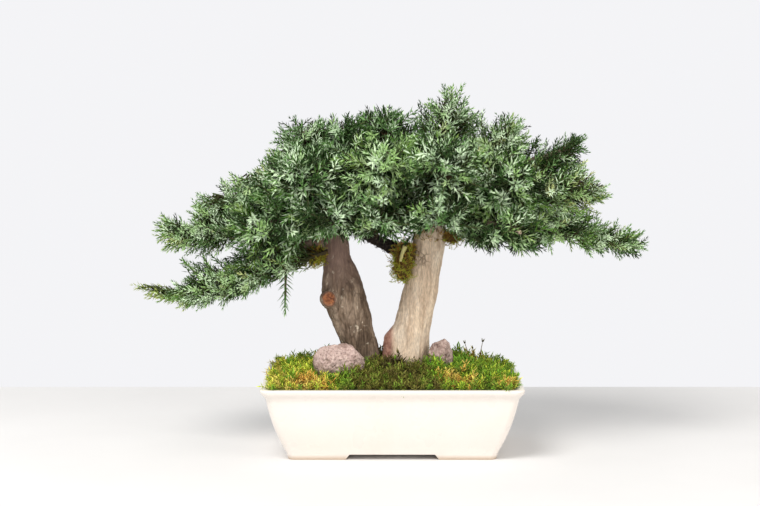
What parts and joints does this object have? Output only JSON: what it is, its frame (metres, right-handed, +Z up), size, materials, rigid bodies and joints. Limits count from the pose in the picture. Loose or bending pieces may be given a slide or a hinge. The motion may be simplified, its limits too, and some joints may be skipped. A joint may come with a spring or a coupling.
{
  "type": "potted juniper bonsai",
  "caption": "Juniper bonsai with two trunks and layered needle foliage, standing in moss and stones in a footed rectangular glazed pot.",
  "frame": {"origin": "middle of the pot, on the plane that its feet stand on", "axes": "+X along the pot's long side and the canopy's spread, -Y towards the front, +Z up"},
  "size_m": [0.3791, 0.1691, 0.2725],
  "materials": {
    "cream_glaze": "smooth cream-white glaze, satin gloss",
    "screen_plastic": "moulded dark green plastic mesh",
    "potting_soil": "damp, dark, coarse potting mix",
    "green_moss": "living moss, matte",
    "old_moss": "olive and yellow old moss, matte",
    "grey_bark": "grey-brown bark with pale specks",
    "tan_bark": "tan fibrous bark",
    "pink_stone": "rough pinkish-grey stone",
    "pale_wood": "bare pale twig",
    "needles": "juniper needles, blue-green with a waxy bloom"
  },
  "bodies": {
    "root": {"drain_screen_left": "screen_plastic", "drain_screen_right": "screen_plastic", "left_trunk": "grey_bark", "moss_back_left": "green_moss", "moss_back_right": "green_moss", "moss_front_left": "green_moss", "moss_front_middle": "green_moss", "moss_front_right": "green_moss", "moss_tuft_left": "old_moss", "moss_tuft_middle": "old_moss", "moss_tuft_right": "old_moss", "pale_twig": "pale_wood", "pot": "cream_glaze", "right_trunk": "tan_bark", "soil": "potting_soil", "spray_apex": "needles", "spray_brow_left": "needles", "spray_brow_middle": "needles", "spray_crown_back": "needles", "spray_crown_front": "needles", "spray_crown_inner_left": "needles", "spray_crown_left": "needles", "spray_crown_left_back": "needles", "spray_crown_left_front": "needles", "spray_crown_middle": "needles", "spray_left_back": "needles", "spray_left_front": "needles", "spray_left_hanging": "needles", "spray_left_low_back": "needles", "spray_left_low_inner": "needles", "spray_left_low_outer": "needles", "spray_left_low_tip": "needles", "spray_left_shoulder": "needles", "spray_left_tip": "needles", "spray_left_upper": "needles", "spray_right_back": "needles", "spray_right_back_low": "needles", "spray_right_dark": "needles", "spray_right_front_high": "needles", "spray_right_front_low": "needles", "spray_right_low": "needles", "spray_right_low_tip": "needles", "spray_right_middle": "needles", "spray_right_skirt": "needles", "spray_right_under": "needles", "spray_right_upper": "needles", "spray_right_upper_back": "needles", "spray_right_upper_front": "needles", "stone_left": "pink_stone", "stone_right": "pink_stone"}
  },
  "joints": []
}
